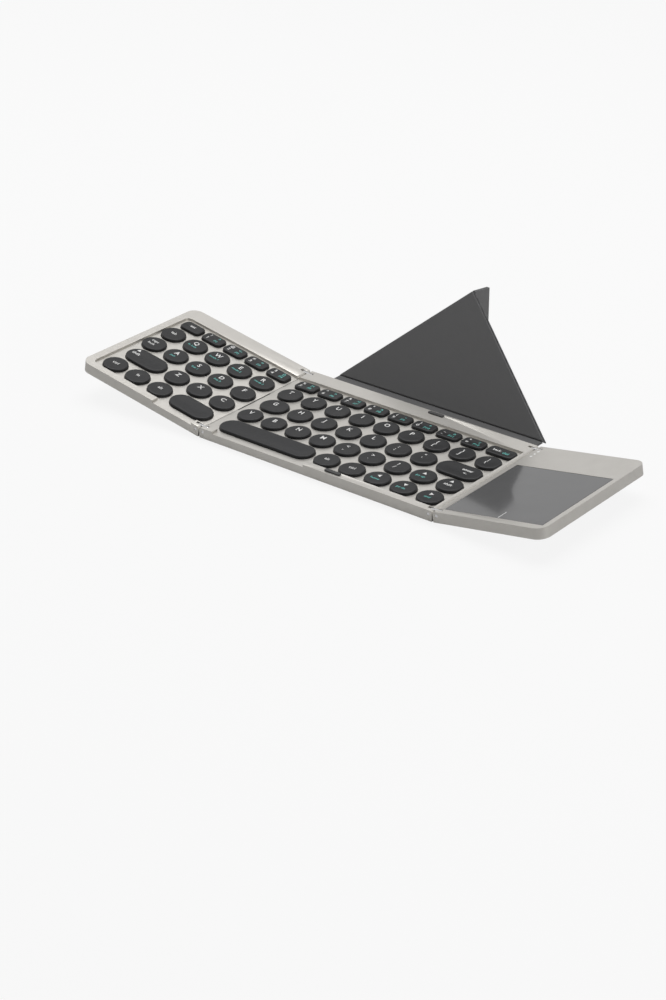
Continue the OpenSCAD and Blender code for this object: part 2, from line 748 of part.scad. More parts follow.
// The stand's flat frame: the base crease on its X axis, outer faces at zero
module panel_rest() {
    translate([0, base_y, 0]) rotate([lean, 0, 0]) children();
}

module leg_rest(side) {
    panel_rest() mirror([side > 0 ? 1 : 0, 0, 0]) translate([-cover_half_w, 0, 0])
        rotate(a = -leg_fold, v = [crease_u.x, crease_u.y, 0])
            translate([cover_half_w, 0, 0]) children();
}

module flap_rest(side) {
    leg_rest(side) translate([0, panel_d, 0])
        rotate(a = -flap_fold, v = [leg_corner.x, leg_corner.y - panel_d, 0])
            translate([0, -panel_d, 0]) children();
}

apex = [0, panel_d];
base_left = [-cover_half_w, 0];
panel_points = [base_left, [cover_half_w, 0], apex];
leg_points = [base_left, apex, leg_corner];
ridge_u = (leg_corner - apex) / stand_h;
flap_out = closure_w * [ridge_u.y, -ridge_u.x];
flap_points = [apex, apex - [0, closure_w / ridge_u.x], leg_corner + flap_out, leg_corner];

module stand_panel() color(cloth) panel_rest() {
    p = inset(panel_points, [crease_gap, crease_gap, crease_gap]);
    mitred_board(p, [[p[0], p[1], -45]]);
}

module leg_panel(side) leg_rest(side) {
    p = inset(leg_points, [crease_gap, crease_gap, 0]);
    mitred_board(p, [[p[1], p[2], -flap_fold / 2]]);
}

module closure_flap(side) flap_rest(side) {
    p = inset(flap_points, [crease_gap, 0, 0, crease_gap]);
    intersection() {
        mitred_board(p, [[p[3], p[0], -flap_fold / 2]]);
        linear_extrude(board_t * 2) polygon(p);
    }
}

module left_leg_panel() color(cloth) leg_panel(-1);
module right_leg_panel() color(cloth) leg_panel(1);
module left_closure_flap() color(cloth) closure_flap(-1);
module right_closure_flap() color(cloth) closure_flap(1);

module left_caps(keys) {
    color(key_black) wing_rest(-1, left_tilt) key_caps(keys);
}

module centre_caps(keys) {
    color(key_black) key_caps(keys);
}

centre_deck();
centre_bottom_plate();
centre_circuit_board();
centre_dome_sheet();
centre_plate_screws();
centre_hinge_pins();
rim_bumpers();
left_deck();
left_bottom_plate();
left_circuit_board();
left_dome_sheet();
left_plate_screws();
left_wing_hinge_pins();
left_wing_feet();
right_deck();
right_bottom_plate();
right_circuit_board();
touchpad_glass();
touchpad_sensor_board();
click_switch();
battery();
charging_socket();
indicator_lights();
right_plate_screws();
right_wing_hinge_pins();
right_wing_feet();
left_hinge_links();
left_ribbon_cable();
right_hinge_links();
right_ribbon_cable();
cover_backing();
cover_spine();
stand_panel();
left_leg_panel();
right_leg_panel();
left_closure_flap();
right_closure_flap();
left_caps(escape);  // escape_key
left_caps(left_numbers);  // left_number_keys
left_caps(tab);  // tab_key
left_caps(left_upper);  // left_upper_keys
left_caps(caps);  // caps_key
left_caps(left_home);  // left_home_keys
left_caps(left_shift);  // left_shift_key
left_caps(left_lower);  // left_lower_keys
left_caps(left_mods);  // left_modifier_keys
left_caps(left_space);  // left_space_key
centre_caps(centre_numbers);  // centre_number_keys
centre_caps(backspace);  // backspace_key
centre_caps(centre_upper);  // centre_upper_keys
centre_caps(centre_home);  // centre_home_keys
centre_caps(enter);  // enter_key
centre_caps(centre_lower);  // centre_lower_keys
centre_caps(right_shift);  // right_shift_key
centre_caps(up_arrow);  // up_arrow_key
centre_caps(arrows);  // arrow_keys
centre_caps(space);  // space_key
centre_caps(right_mods);  // right_modifier_keys
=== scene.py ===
import json
from math import cos, pi, radians, sin, sqrt

import bmesh
import bpy
from mathutils import Matrix, Vector


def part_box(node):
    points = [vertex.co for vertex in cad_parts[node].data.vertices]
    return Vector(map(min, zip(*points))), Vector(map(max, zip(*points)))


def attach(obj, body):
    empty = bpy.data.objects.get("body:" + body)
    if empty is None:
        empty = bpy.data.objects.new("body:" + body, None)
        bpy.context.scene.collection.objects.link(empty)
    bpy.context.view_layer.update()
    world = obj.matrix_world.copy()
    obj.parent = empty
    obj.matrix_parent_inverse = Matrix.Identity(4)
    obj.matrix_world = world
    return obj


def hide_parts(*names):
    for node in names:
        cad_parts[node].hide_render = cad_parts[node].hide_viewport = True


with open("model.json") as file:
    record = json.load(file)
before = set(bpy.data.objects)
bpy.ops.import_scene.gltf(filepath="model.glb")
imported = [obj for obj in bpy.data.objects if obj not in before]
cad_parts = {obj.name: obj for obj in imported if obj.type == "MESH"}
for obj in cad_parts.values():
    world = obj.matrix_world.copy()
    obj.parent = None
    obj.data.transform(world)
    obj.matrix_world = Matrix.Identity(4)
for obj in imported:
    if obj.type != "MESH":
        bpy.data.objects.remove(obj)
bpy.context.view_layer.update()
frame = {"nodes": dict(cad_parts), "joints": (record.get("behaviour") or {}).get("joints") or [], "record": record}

# Camera. It stands in front and to the right of the keyboard at about 27 degrees above the
# table, as far off as the long lens of a product photograph needs.
aim = Vector((0.0310, -0.0673, 0.0072))
turn, rise, distance = radians(38.74), radians(27.42), 1.1312


def facing(place, backward):
    """The pose of a camera or a lamp at a place, with its back along a direction."""
    return Matrix.Translation(place) @ backward.to_track_quat("Z", "Y").to_matrix().to_4x4()


back = Vector((sin(turn) * cos(rise), -cos(turn) * cos(rise), sin(rise)))
lens = bpy.data.cameras.new("photo_camera")
lens.lens = 83.0
lens.sensor_width = 36.0
lens.clip_end = 20.0
camera = bpy.data.objects.new("photo_camera", lens)
camera.matrix_world = facing(aim + back * distance, back)
bpy.context.collection.objects.link(camera)
bpy.context.scene.camera = camera
bpy.context.scene.view_settings.view_transform = "Standard"

# Studio. A plain pale table runs far back under even white air. A large soft lamp hangs above
# and behind the keyboard, and two weaker ones stand to its right and its left.
lit_middle = Vector((0, 0, 0.01))


def soft_lamp(name, place, size, power):
    """One rectangular lamp that faces the middle of the keyboard."""
    light = bpy.data.lights.new(name, "AREA")
    light.shape = "RECTANGLE"
    light.size, light.size_y = size
    light.energy = power
    lamp = bpy.data.objects.new(name, light)
    lamp.matrix_world = facing(place, Vector(place) - lit_middle)
    bpy.context.collection.objects.link(lamp)


soft_lamp("overhead_lamp", (-0.25, 0.35, 1.3), (1.3, 1.0), 15)
soft_lamp("right_lamp", (1.25, 0.1, 0.6), (0.9, 0.7), 5)
soft_lamp("left_lamp", (-1.2, 0.1, 0.7), (0.8, 0.8), 1.5)


class Socket:
    """A value in a node tree. Expressions on it add Math nodes, and node() adds any other."""

    def __init__(self, tree, socket):
        self.tree = tree
        self.socket = socket

    def node(self, kind, settings, values, out=0):
        made = self.tree.nodes.new(kind)
        for name, value in settings.items():
            setattr(made, name, value)
        for name, value in values.items():
            if isinstance(value, Socket):
                self.tree.links.new(value.socket, made.inputs[name])
            else:
                made.inputs[name].default_value = value
        return Socket(self.tree, made.outputs[out])

    def maths(self, operation, other):
        return self.node("ShaderNodeMath", {"operation": operation}, {0: self, 1: other})

    def __add__(self, other):
        return self.maths("ADD", other)

    def __mul__(self, other):
        return self.maths("MULTIPLY", other)

    __radd__ = __add__
    __rmul__ = __mul__

    def sine(self):
        return self.maths("SINE", 0.0)

    def to(self, target):
        self.tree.links.new(self.socket, target)


lighting_air, seen_air, mirrored_air = 0.12, 0.83, 0.55
world = bpy.data.worlds.new("studio_air")
world.use_nodes = True
bpy.context.scene.world = world
air = world.node_tree
ray = air.nodes.new("ShaderNodeLightPath")
seen = Socket(air, ray.outputs["Is Camera Ray"]) * seen_air
mirrored = Socket(air, ray.outputs["Is Glossy Ray"]) * mirrored_air
(seen + mirrored + lighting_air).to(air.nodes["Background"].inputs["Strength"])
air.nodes["Background"].inputs["Color"].default_value = (1, 1, 1, 1)


def new_finish(name, uv=None):
    """A material, its shader and a socket that gives the place on the piece."""
    made = bpy.data.materials.new(name)
    made.use_nodes = True
    tree = made.node_tree
    shader = tree.nodes["Principled BSDF"]
    if uv:
        source = tree.nodes.new("ShaderNodeUVMap")
        source.uv_map = uv
        return made, shader, Socket(tree, source.outputs["UV"])
    return made, shader, Socket(tree, tree.nodes.new("ShaderNodeTexCoord").outputs["Object"])


def blend_colours(amount, low, high):
    """Mixes two colours by a socket's value."""
    ends = {0: amount, 6: (*low, 1), 7: (*high, 1)}
    return amount.node("ShaderNodeMix", {"data_type": "RGBA"}, ends, 2)


def table_finish():
    """Pale matt board that the camera sees mostly as evenly lit, with a faint shadow."""
    evenly_lit = 0.88
    made, shader, place = new_finish("table_white")
    shader.inputs["Base Color"].default_value = (0.66, 0.66, 0.66, 1)
    shader.inputs["Roughness"].default_value = 0.6
    shader.inputs["Specular IOR Level"].default_value = 0.1
    glow = place.node("ShaderNodeEmission", {}, {"Color": (1, 1, 1, 1), "Strength": 1.0})
    camera_ray = place.node("ShaderNodeLightPath", {}, {}, "Is Camera Ray")
    board = Socket(place.tree, shader.outputs[0])
    mixed = place.node("ShaderNodeMixShader", {}, {0: camera_ray * evenly_lit, 1: board, 2: glow})
    mixed.to(place.tree.nodes["Material Output"].inputs["Surface"])
    return made


table_reach, below_feet = 6, 0.0002
corners = [(x * table_reach, y * table_reach, 0) for x, y in ((-1, -1), (1, -1), (1, 1), (-1, 1))]
floor_mesh = bpy.data.meshes.new("table_top")
floor_mesh.from_pydata(corners, [], [(0, 1, 2, 3)])
table_top = bpy.data.objects.new("table_top", floor_mesh)
table_top.location.z = -below_feet
bpy.context.collection.objects.link(table_top)
floor_mesh.materials.append(table_finish())

# Case. Three shallow trays of bead-blasted aluminium in a warm silver, with their edges broken
# and a fine grain. The copies take a small bevel and stand for the plain solids. The middle
# tray is as wide as the seams are apart, and each wing starts a small gap beyond its seam.
case_w, case_d, wing_gap = 0.1514, 0.0924, 0.0004
case_edge = 0.00022


def grained(name, low, high, metal, rough, grain, bump):
    """A hard finish: broad tone changes, fine grain in the gloss and a light bump."""
    made, shader, place = new_finish(name)
    tone = place.node("ShaderNodeTexNoise", {}, {"Vector": place, "Scale": 120.0, "Detail": 3.0})
    speck = place.node("ShaderNodeTexNoise", {},
        {"Vector": place, "Scale": grain, "Detail": 4.0, "Roughness": 0.6})
    blend_colours(tone * 0.6 + speck * 0.4, low, high).to(shader.inputs["Base Color"])
    gloss_change = 0.16
    (speck * gloss_change + (rough - gloss_change / 2)).to(shader.inputs["Roughness"])
    shader.inputs["Metallic"].default_value = metal
    relief = place.node("ShaderNodeBump", {}, {"Height": speck, "Strength": bump, "Distance": 0.00005})
    relief.to(shader.inputs["Normal"])
    return made


case_metal = grained("case_metal", (0.54, 0.52, 0.485), (0.66, 0.64, 0.605), 0.75, 0.35, 5200.0, 0.3)


def merged_copy(node):
    """The solid's mesh as one merged surface, with its flat faces joined."""
    weld, flat = 0.000002, radians(0.6)
    mesh = frame["nodes"][node].data.copy()
    work = bmesh.new()
    work.from_mesh(mesh)
    bmesh.ops.remove_doubles(work, verts=work.verts, dist=weld)
    bmesh.ops.dissolve_limit(work, angle_limit=flat, verts=work.verts, edges=work.edges)
    work.to_mesh(mesh)
    work.free()
    mesh.materials.clear()
    return mesh


def smooth_faces(mesh, sharp):
    """Shades a mesh smooth, apart from its edges over an angle."""
    for face in mesh.polygons:
        face.use_smooth = True
    mesh.set_sharp_from_angle(angle=sharp)


def bevelled(name, mesh, width, steps=2):
    """A finished mesh with its sharp edges rounded and shaded smooth."""
    sharp = radians(32)
    smooth_faces(mesh, sharp)
    piece = bpy.data.objects.new(name, mesh)
    bpy.context.collection.objects.link(piece)
    soften = piece.modifiers.new("broken_edge", "BEVEL")
    soften.width = width
    soften.segments = steps
    soften.limit_method = "ANGLE"
    soften.angle_limit = sharp
    soften.use_clamp_overlap = True
    soften.harden_normals = True
    depsgraph = bpy.context.evaluated_depsgraph_get()
    final = bpy.data.meshes.new_from_object(piece.evaluated_get(depsgraph))
    piece.modifiers.clear()
    piece.data = final
    return piece


for node, body in (("centre_deck", "centre"), ("left_deck", "left_wing"), ("right_deck", "right_wing")):
    shell = bevelled(node + "_case", merged_copy(node), case_edge)
    shell.data.materials.append(case_metal)
    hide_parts(node)
    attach(shell, body)

# Inner and small parts. Plates, boards, domes, screws, pins, rubber feet and the parts in the
# touchpad wing keep their solids, and each gets the finish of the real material.
def lacquered_board():
    """Green lacquer over copper tracks that run along and across the board."""
    made, shader, place = new_finish("green_lacquer")
    tracks = {"Scale": 260.0, "Mortar Size": 0.03, "Mortar": (0.05, 0.3, 0.13, 1)}
    fields = {"Color1": (0.01, 0.12, 0.06, 1), "Color2": (0.012, 0.15, 0.07, 1)}
    cells = place.node("ShaderNodeTexBrick", {}, {"Vector": place, **tracks, **fields})
    cells.to(shader.inputs["Base Color"])
    speck = place.node("ShaderNodeTexNoise", {}, {"Vector": place, "Scale": 900.0})
    (speck * 0.15 + 0.25).to(shader.inputs["Roughness"])
    relief = place.node("ShaderNodeBump", {}, {"Height": speck, "Strength": 0.2, "Distance": 0.00005})
    relief.to(shader.inputs["Normal"])
    return made


finishes = {
    "metal_case": case_metal,
    "base_plate": grained("plate_metal", (0.36, 0.35, 0.33), (0.46, 0.45, 0.43), 0.75, 0.45, 3800.0, 0.4),
    "circuit_board": lacquered_board(),
    "dome_rubber": grained("dome_rubber", (0.09, 0.09, 0.1), (0.14, 0.14, 0.15), 0.0, 0.62, 2200.0, 0.4),
    "screw_steel": grained("screw_steel", (0.12, 0.12, 0.13), (0.22, 0.22, 0.23), 0.9, 0.38, 5000.0, 0.3),
    "hinge_chrome": grained("hinge_chrome", (0.68, 0.68, 0.69), (0.8, 0.8, 0.81), 0.95, 0.2, 3000.0, 0.12),
    "ribbon_cable": grained("black_film", (0.02, 0.02, 0.02), (0.035, 0.035, 0.035), 0.0, 0.35, 1500.0, 0.2),
    "black_rubber": grained("black_rubber", (0.03, 0.03, 0.03), (0.055, 0.055, 0.055),
        0.0, 0.68, 3500.0, 0.7),
    "battery_foil": grained("battery_foil", (0.42, 0.43, 0.45), (0.55, 0.56, 0.58), 0.4, 0.42, 1200.0, 0.5),
    "socket_steel": grained("socket_steel", (0.5, 0.5, 0.51), (0.62, 0.62, 0.63), 0.9, 0.3, 4000.0, 0.2),
    "light_lens": grained("light_lens", (0.86, 0.87, 0.86), (0.93, 0.93, 0.92), 0.0, 0.3, 2500.0, 0.1),
}
slots = {part["node"]: part["material_slot"] for part in frame["record"]["subparts"]}
for node, piece in frame["nodes"].items():
    finish = finishes.get(slots[node])
    if finish:
        piece.data.materials.clear()
        piece.data.materials.append(finish)

# Hinge links and bumpers seen from above. Polished plates turn on steel pins in the corners of
# each seam, and soft oblongs keep the folded wings off the rims.
link_edge, bumper_edge = 0.00012, 0.0002
for node, body, edge in (("left_hinge_links", "left_link", link_edge),
        ("right_hinge_links", "right_link", link_edge), ("rim_bumpers", "centre", bumper_edge)):
    part = bevelled(node + "_seen", merged_copy(node), edge)
    part.data.materials.append(finishes[slots[node]])
    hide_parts(node)
    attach(part, body)

# Painted shade in the left seam slit. A black arched strip lies in the slit over the ribbon cable,
# where the cable crosses to the wing, and darkens the slit as the shade of its interior.
slit_w, slit_front, slit_len = 0.0006, -0.0152, 0.0264
strip_bottom, strip_top, strip_arch, strip_start = 0.00465, 0.00555, 0.00015, 0.00002


def arched_strip(name, low, high, arch):
    """A strip along Y between two corners, with a top that arches by a rise."""
    steps = 8
    profile = [(low.x, low.z), (high.x, low.z)]
    for step in range(steps + 1):
        part = step / steps
        height = high.z - arch + arch * sin(pi * part)
        profile.append((high.x + (low.x - high.x) * part, height))
    count = len(profile)
    points = [(x, y, z) for y in (low.y, high.y) for x, z in profile]
    faces = [tuple(range(count)), tuple(reversed(range(count, 2 * count)))]
    for index in range(count):
        after = (index + 1) % count
        faces.append((index, index + count, after + count, after))
    mesh = bpy.data.meshes.new(name)
    mesh.from_pydata(points, [], faces)
    work = bmesh.new()
    work.from_mesh(mesh)
    bmesh.ops.recalc_face_normals(work, faces=work.faces)
    work.to_mesh(mesh)
    work.free()
    smooth_faces(mesh, radians(40))
    return bpy.data.objects.new(name, mesh)


left_seam_x = -case_w / 2
# The black strip is painted shade: it makes the slit over the cable look dark.
painted_slit_shade = arched_strip("cable_shield", Vector((left_seam_x + strip_start, slit_front, strip_bottom)),
    Vector((left_seam_x + slit_w, slit_front + slit_len, strip_top)), strip_arch)
painted_slit_shade.data.materials.append(finishes["ribbon_cable"])
bpy.context.collection.objects.link(painted_slit_shade)
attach(painted_slit_shade, "centre")

# Touchpad. A grey glass plate with a ground, slightly pearly surface and a polished edge, and one
# white printed line that divides its front edge into the two clicking halves.
pad_edge, pad_top = 0.0002, 0.0069
line_from_seam, line_from_front, line_len, line_half_w = 0.0359, 0.0050, 0.0073, 0.0002
print_lift = 0.00003


def wing_place(name):
    """The move that takes a piece from the flat keyboard to where its tilted wing stands."""
    joints = {joint["name"]: joint for joint in frame["joints"]}
    moved = Matrix.Identity(4)
    for fold in ("_link_fold", "_wing_fold"):
        joint = joints[name + fold]
        pivot = Vector(joint["pos_m"])
        tilted = Matrix.Rotation(-radians(joint["range_deg"][0]), 4, Vector(joint["axis"]))
        moved = Matrix.Translation(pivot) @ tilted @ Matrix.Translation(-pivot) @ moved
    return moved


def pad_glass():
    """Ground grey glass under a clear coat."""
    made, shader, place = new_finish("pad_glass")
    tone = place.node("ShaderNodeTexNoise", {}, {"Vector": place, "Scale": 90.0, "Detail": 2.0})
    blend_colours(tone, (0.105, 0.105, 0.107), (0.12, 0.12, 0.122)).to(shader.inputs["Base Color"])
    speck = place.node("ShaderNodeTexNoise", {}, {"Vector": place, "Scale": 6000.0, "Detail": 2.0})
    (speck * 0.03 + 0.08).to(shader.inputs["Roughness"])
    shader.inputs["Metallic"].default_value = 0.0
    shader.inputs["Coat Weight"].default_value = 0.5
    shader.inputs["Coat Roughness"].default_value = 0.06
    relief = place.node("ShaderNodeBump", {}, {"Height": speck, "Strength": 0.08, "Distance": 0.00003})
    relief.to(shader.inputs["Normal"])
    return made


glass = bevelled("touchpad_plate", merged_copy("touchpad_glass"), pad_edge)
glass.data.materials.append(pad_glass())
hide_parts("touchpad_glass")
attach(glass, "right_wing")


def ink(name, colour):
    """Printed ink with a faint unevenness."""
    low = tuple(part * 0.9 for part in colour)
    return grained(name, low, colour, 0.0, 0.5, 5000.0, 0.1)


white_ink = ink("white_ink", (0.86, 0.86, 0.85))
teal_ink = ink("teal_ink", (0.13, 0.5, 0.46))
line_x = case_w / 2 + wing_gap + line_from_seam
line_y = -case_d / 2 + line_from_front
line_corners = [(line_x - line_half_w, line_y), (line_x + line_half_w, line_y),
    (line_x + line_half_w, line_y + line_len), (line_x - line_half_w, line_y + line_len)]
right_moved = wing_place("right")
line_mesh = bpy.data.meshes.new("click_line")
line_mesh.from_pydata([right_moved @ Vector((x, y, pad_top + print_lift)) for x, y in line_corners],
    [], [(0, 1, 2, 3)])
line_mesh.materials.append(white_ink)
click_line = bpy.data.objects.new("click_line", line_mesh)
bpy.context.collection.objects.link(click_line)
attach(click_line, "right_wing")

# Keys. Black moulded caps with upright sides, a rounded shoulder and a faint dish, round for the
# letters and long or oblong elsewhere. Each row repeats one cap along its pitch, and its legends
# are printed on the curved tops in white and teal.
key_d, wide_gap = 0.0140, 0.0023
key_r = key_d / 2
key_round = (key_d, key_d, key_r)
number_w, number_d, number_r = 0.0138, 0.0086, 0.0028
key_number = (number_w, number_d, number_r)
pitch, number_pitch = 0.0163, 0.01586
left_shift_len, left_space_len, space_len = 0.0263, 0.0270, 0.0610
enter_len, g_len, backspace_w = 0.0260, 0.0166, 0.0166
# From the front edge to the middle of each row, from the space row to the number row
row_y = (0.0121, 0.0284, 0.0447, 0.0610, 0.0748)
# From the left seam to the middle of each row's first short key, from the number row forward
left_u = (0.0083, 0.0085, 0.0081, 0.0088, 0.0390)
centre_x = (0.0120, 0.0114, 0.0317, 0.0110, 0.0761)
key_top, key_travel = 0.0072, 0.0011
cap_wall, skirt_in, skirt_z, side_low_z, side_z = 0.0012, 0.0003, 0.00415, 0.0044, 0.0058
shoulder, dish = 0.00075, 0.00025
dome_clearance = 0.0001
dome_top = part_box("centre_dome_sheet")[1].z


def ring_points(length, depth, corner, inset, height):
    """A rounded outline moved inward, as points at one height."""
    quarter_points, least_r = 12, 0.00012
    half_l, half_d = length / 2 - inset, depth / 2 - inset
    round_r = min(max(corner - inset, least_r), half_l, half_d)
    ring = []
    for quarter, (sx, sy) in enumerate(((1, 1), (-1, 1), (-1, -1), (1, -1))):
        for step in range(quarter_points):
            angle = (quarter + (step + 0.5) / quarter_points) * pi / 2
            x = sx * (half_l - round_r) + round_r * cos(angle)
            y = sy * (half_d - round_r) + round_r * sin(angle)
            ring.append((x, y, height))
    return ring


def top_height(inset, reach):
    """Height of a cap's top at a distance in from its outline."""
    if inset < shoulder:
        return key_top - shoulder + sqrt(max(shoulder ** 2 - (shoulder - inset) ** 2, 0.0))
    part = min((inset - shoulder) / (reach - shoulder), 1.0)
    return key_top - dish * (1 - cos(pi * part)) / 2


def cap_shape(name, length, depth, corner):
    """One key cap round the origin, hollow over its rubber dome."""
    shoulder_steps, dish_steps, dished_part = 6, 7, 0.93
    reach = depth / 2
    levels = [(cap_wall, dome_top + key_travel + dome_clearance), (cap_wall, skirt_z)]
    levels += [(skirt_in, skirt_z), (0.0, side_low_z), (0.0, side_z)]
    for step in range(shoulder_steps + 1):
        inset = shoulder * (1 - cos(pi / 2 * step / shoulder_steps))
        levels.append((inset, top_height(inset, reach)))
    for step in range(1, dish_steps + 1):
        inset = shoulder + (reach * dished_part - shoulder) * step / dish_steps
        levels.append((inset, top_height(inset, reach)))
    work = bmesh.new()
    rings = []
    for inset, height in levels:
        rings.append([work.verts.new(point) for point in ring_points(length, depth, corner, inset, height)])
    for low, high in zip(rings, rings[1:]):
        for index in range(len(low)):
            after = (index + 1) % len(low)
            work.faces.new((low[index], low[after], high[after], high[index]))
    work.faces.new(rings[-1])
    work.faces.new(list(reversed(rings[0])))
    bmesh.ops.recalc_face_normals(work, faces=work.faces)
    mesh = bpy.data.meshes.new(name)
    work.to_mesh(mesh)
    work.free()
    return bpy.data.objects.new(name, mesh)


def key_row_tree():
    """Geometry nodes that repeat one cap along a row."""
    tree = bpy.data.node_groups.new("key_row", "GeometryNodeTree")
    for name, kind in (("Cap", "NodeSocketObject"), ("Count", "NodeSocketInt"),
            ("First", "NodeSocketVector"), ("Step", "NodeSocketVector"),
            ("Finish", "NodeSocketMaterial")):
        tree.interface.new_socket(name, in_out="INPUT", socket_type=kind)
    tree.interface.new_socket("Geometry", in_out="OUTPUT", socket_type="NodeSocketGeometry")
    given = tree.nodes.new("NodeGroupInput")
    cap = tree.nodes.new("GeometryNodeObjectInfo")
    row = tree.nodes.new("GeometryNodeMeshLine")
    repeat = tree.nodes.new("GeometryNodeInstanceOnPoints")
    real = tree.nodes.new("GeometryNodeRealizeInstances")
    dress = tree.nodes.new("GeometryNodeSetMaterial")
    result = tree.nodes.new("NodeGroupOutput")
    for start, end in (((given, "Cap"), (cap, "Object")), ((given, "Count"), (row, "Count")),
            ((given, "First"), (row, "Start Location")), ((given, "Step"), (row, "Offset")),
            ((row, "Mesh"), (repeat, "Points")), ((cap, "Geometry"), (repeat, "Instance")),
            ((repeat, "Instances"), (real, "Geometry")), ((real, "Geometry"), (dress, "Geometry")),
            ((given, "Finish"), (dress, "Material")), ((dress, "Geometry"), (result, "Geometry"))):
        tree.links.new(start[0].outputs[start[1]], end[0].inputs[end[1]])
    return tree


def moulded_plastic():
    """Black plastic with the fine grain of its mould."""
    made, shader, place = new_finish("key_plastic")
    tone = place.node("ShaderNodeTexNoise", {}, {"Vector": place, "Scale": 260.0, "Detail": 2.0})
    speck = place.node("ShaderNodeTexNoise", {}, {"Vector": place, "Scale": 7000.0, "Detail": 3.0})
    colour = blend_colours(tone * 0.5 + speck * 0.5, (0.005, 0.005, 0.006), (0.010, 0.010, 0.011))
    colour.to(shader.inputs["Base Color"])
    (speck * 0.12 + 0.36).to(shader.inputs["Roughness"])
    shader.inputs["Specular IOR Level"].default_value = 0.3
    relief = place.node("ShaderNodeBump", {}, {"Height": speck, "Strength": 0.3, "Distance": 0.00004})
    relief.to(shader.inputs["Normal"])
    return made


key_plastic = moulded_plastic()
row_tree = key_row_tree()


def repeated(name, size, count, first, step):
    """A plain mesh of one cap, repeated from a first place by a step along X."""
    cap = cap_shape("cap_of_" + name, *size)
    holder = bpy.data.objects.new(name, bpy.data.meshes.new(name))
    bpy.context.collection.objects.link(cap)
    bpy.context.collection.objects.link(holder)
    maker = holder.modifiers.new("maker", "NODES")
    maker.node_group = row_tree
    given = {"Cap": cap, "Count": count, "First": first, "Step": (step, 0, 0), "Finish": key_plastic}
    for item in row_tree.interface.items_tree:
        if item.in_out == "INPUT":
            maker[item.identifier] = given[item.name]
    depsgraph = bpy.context.evaluated_depsgraph_get()
    mesh = bpy.data.meshes.new_from_object(holder.evaluated_get(depsgraph))
    bpy.data.objects.remove(holder)
    bpy.data.objects.remove(cap)
    return mesh


def joined(name, meshes):
    """Several meshes in one, without their materials."""
    work = bmesh.new()
    for mesh in meshes:
        work.from_mesh(mesh)
    whole = bpy.data.meshes.new(name)
    work.to_mesh(whole)
    work.free()
    return whole


def lettering(words, size):
    """A word as a flat mesh round the origin, from the built-in type."""
    text = bpy.data.curves.new("legend", "FONT")
    text.body = words
    text.size = size
    text.align_x = "CENTER"
    text.align_y = "CENTER"
    text.resolution_u = 3
    text.offset = size * 0.018
    holder = bpy.data.objects.new("legend", text)
    bpy.context.collection.objects.link(holder)
    depsgraph = bpy.context.evaluated_depsgraph_get()
    mesh = bpy.data.meshes.new_from_object(holder.evaluated_get(depsgraph))
    bpy.data.objects.remove(holder)
    return mesh


arrows = {"left": pi, "right": 0.0, "up": pi / 2, "down": -pi / 2}


def arrow_mark(way):
    """A small solid triangle that points left, right, up or down."""
    point, tail, half_w = 0.0012, 0.0009, 0.0012
    mesh = bpy.data.meshes.new("arrow")
    mesh.from_pydata([(point, 0, 0), (-tail, half_w, 0), (-tail, -half_w, 0)], [], [(0, 1, 2)])
    mesh.transform(Matrix.Rotation(arrows[way], 4, "Z"))
    return mesh


# Each spot gives the size of the type, its place from the middle of the cap, and its ink
white, teal = 0, 1
mark_spots = {
    "letter": (0.0041, -0.0010, 0.0020, white),
    "word": (0.0029, -0.0004, 0.0008, white),
    "second_use": (0.0021, -0.0012, -0.0014, teal),
    "front_sign": (0.0034, -0.0012, -0.0012, white),
    "rear_sign": (0.0034, -0.0010, 0.0022, white),
    "front_word": (0.0026, -0.0012, -0.0012, white),
    "rear_word": (0.0026, -0.0010, 0.0022, white),
    "digit": (0.0032, -0.0037, -0.0014, white),
    "digit_sign": (0.0026, -0.0035, 0.0019, white),
    "function": (0.0027, 0.0022, -0.0014, teal),
    "picture": (0.0027, 0.0024, 0.0017, teal),
    "back": (0.0026, -0.0030, 0.0004, white),
    "delete": (0.0032, 0.0028, -0.0004, teal),
    "arrow": (None, -0.0006, 0.0024, white),
    "paging": (0.0024, -0.0008, -0.0012, teal),
    "shift_arrow": (None, -0.0008, 0.0034, white),
    "shift": (0.0028, -0.0008, -0.0004, white),
    "long_shift_arrow": (None, -0.0088, 0.0038, white),
    "long_shift": (0.0030, -0.0082, 0.0004, white),
    "enter": (0.0029, 0.0038, 0.0020, white),
    "enter_sign": (0.0026, 0.0044, -0.0014, white),
}


def chosen_spots(marks, length):
    """Which spots one cap's marks are printed on, with what each of them shows."""
    if len(marks) == 4:
        return list(zip(("digit", "digit_sign", "function", "picture"), marks))
    main, second = marks
    if main == "back":
        return [("back", main), ("delete", second)]
    if main in arrows:
        return [("arrow", main), ("paging", second)]
    if main == "shift":
        kind = "long_shift" if length > key_d else "shift"
        return [(kind + "_arrow", "up"), (kind, main)]
    if main == "enter":
        return [("enter", main), ("enter_sign", "<-")]
    if " " in main:
        rear, front = main.split(" ")
        kind = "sign" if len(rear) == 1 else "word"
        return [("front_" + kind, front), ("rear_" + kind, rear)]
    kind = "letter" if len(main) == 1 else "word"
    return [(spot, what) for spot, what in ((kind, main), ("second_use", second)) if what]


def inset_at(x, y, length, depth, corner):
    """How far in from a cap's outline a point of it lies."""
    if corner < depth / 2:
        return min(length / 2 - abs(x), depth / 2 - abs(y))
    beyond = max(abs(x) - (length - depth) / 2, 0.0)
    return depth / 2 - sqrt(beyond ** 2 + y ** 2)


